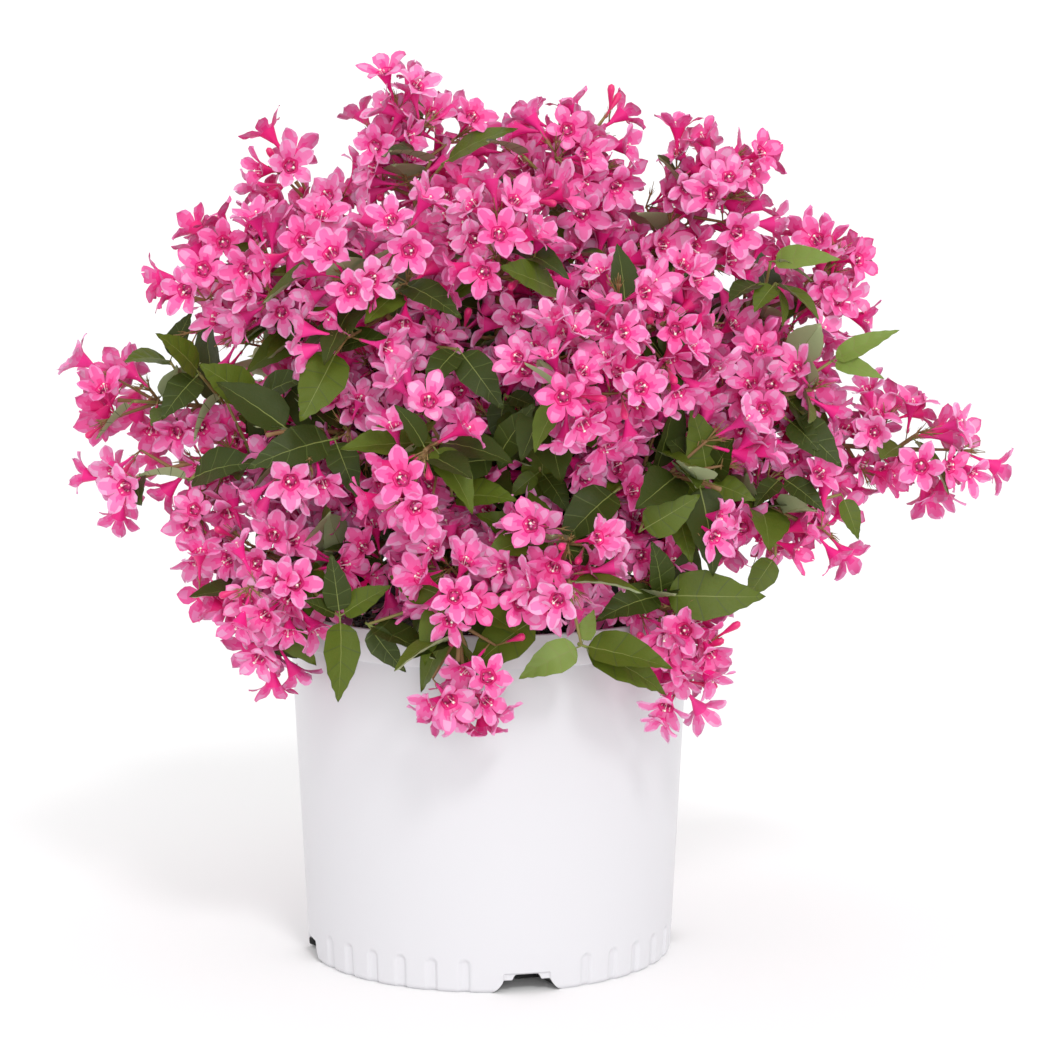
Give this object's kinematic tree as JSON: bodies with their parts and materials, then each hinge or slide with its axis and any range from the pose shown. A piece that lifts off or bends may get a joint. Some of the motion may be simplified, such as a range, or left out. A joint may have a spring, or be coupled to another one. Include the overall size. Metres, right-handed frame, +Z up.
{
  "type": "potted shrub",
  "caption": "Weigela in flower, its arching canes in masses of leaves and trumpet blossom, in a white nursery pot with a fluted and notched foot.",
  "frame": {"origin": "centre of the pot's flat underside", "axes": "+Z up, out of the pot's mouth; -Y towards the viewer of the picture; +X to that viewer's right"},
  "size_m": [0.6324, 0.4886, 0.6038],
  "materials": {
    "pot_plastic": "satin",
    "potting_mix": "matte",
    "bark": "matte",
    "foliage": "matte"
  },
  "bodies": {
    "root": {"pot": "pot_plastic", "potting_mix": "potting_mix", "main_stem": "bark", "bough_left_far": "bark", "bough_left_low": "bark", "bough_left_shoulder": "bark", "bough_left_crest": "bark", "bough_left_face": "bark", "bough_top_left": "bark", "bough_top_middle": "bark", "bough_top_face": "bark", "bough_top_right": "bark", "bough_right_upper": "bark", "bough_right_face": "bark", "bough_right_middle": "bark", "bough_right_far": "bark", "bough_right_low": "bark", "bough_right_cheek": "bark", "bough_front_middle": "bark", "bough_front_left": "bark", "bough_left_cheek": "bark", "bough_left_skirt": "bark", "bough_front_skirt_left": "bark", "bough_front_skirt_right": "bark", "bough_right_skirt": "bark", "bough_back_top": "bark", "bough_back_left": "bark", "bough_back_right": "bark", "bough_back_middle": "bark", "bough_back_skirt_left": "bark", "bough_back_skirt_right": "bark", "mass_left_far": "foliage", "mass_left_low": "foliage", "mass_left_shoulder": "foliage", "mass_left_crest": "foliage", "mass_left_face": "foliage", "mass_top_left": "foliage", "mass_top_middle": "foliage", "mass_top_face": "foliage", "mass_top_right": "foliage", "mass_right_upper": "foliage", "mass_right_face": "foliage", "mass_right_middle": "foliage", "mass_right_far": "foliage", "mass_right_low": "foliage", "mass_right_cheek": "foliage", "mass_front_middle": "foliage", "mass_front_left": "foliage", "mass_left_cheek": "foliage", "mass_left_skirt": "foliage", "mass_front_skirt_left": "foliage", "mass_front_skirt_right": "foliage", "mass_right_skirt": "foliage", "mass_back_top": "foliage", "mass_back_left": "foliage", "mass_back_right": "foliage", "mass_back_middle": "foliage", "mass_back_skirt_left": "foliage", "mass_back_skirt_right": "foliage"}
  },
  "joints": []
}
